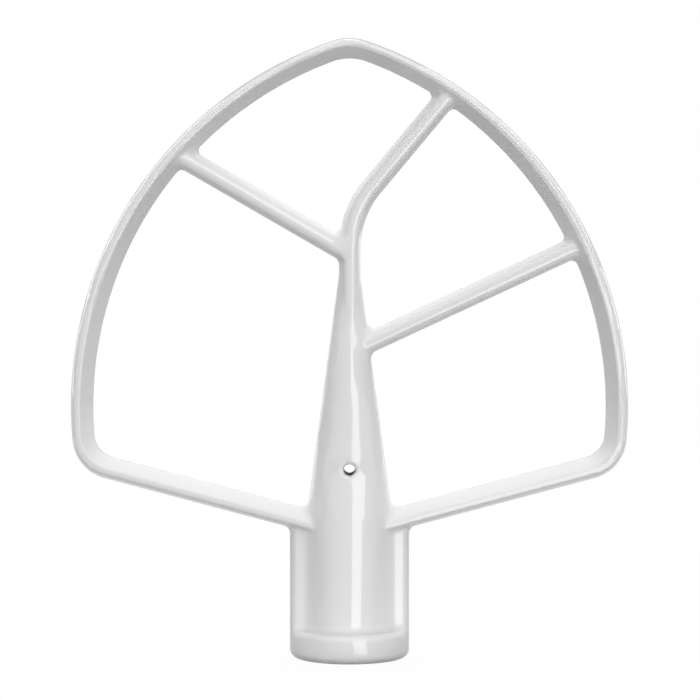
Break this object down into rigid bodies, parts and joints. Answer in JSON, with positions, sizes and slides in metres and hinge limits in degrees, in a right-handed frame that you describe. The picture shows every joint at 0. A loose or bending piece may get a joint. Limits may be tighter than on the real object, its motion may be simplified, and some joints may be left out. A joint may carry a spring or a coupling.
{
  "type": "stand mixer beater",
  "caption": "One-piece cast flat beater for a stand mixer: a shield-shaped frame with slanted bars on a tapering stem, and a hub bored for the drive shaft.",
  "frame": {"origin": "centre of the hub's rim, where the drive shaft enters", "axes": "+Z along the drive axis towards the beater's tip, front looks along -Y, +X to the right seen from the front"},
  "size_m": [0.135, 0.0288, 0.15],
  "materials": {
    "coating": "gloss white coating on cast aluminium"
  },
  "bodies": {
    "root": {"beater": "coating"}
  },
  "joints": []
}
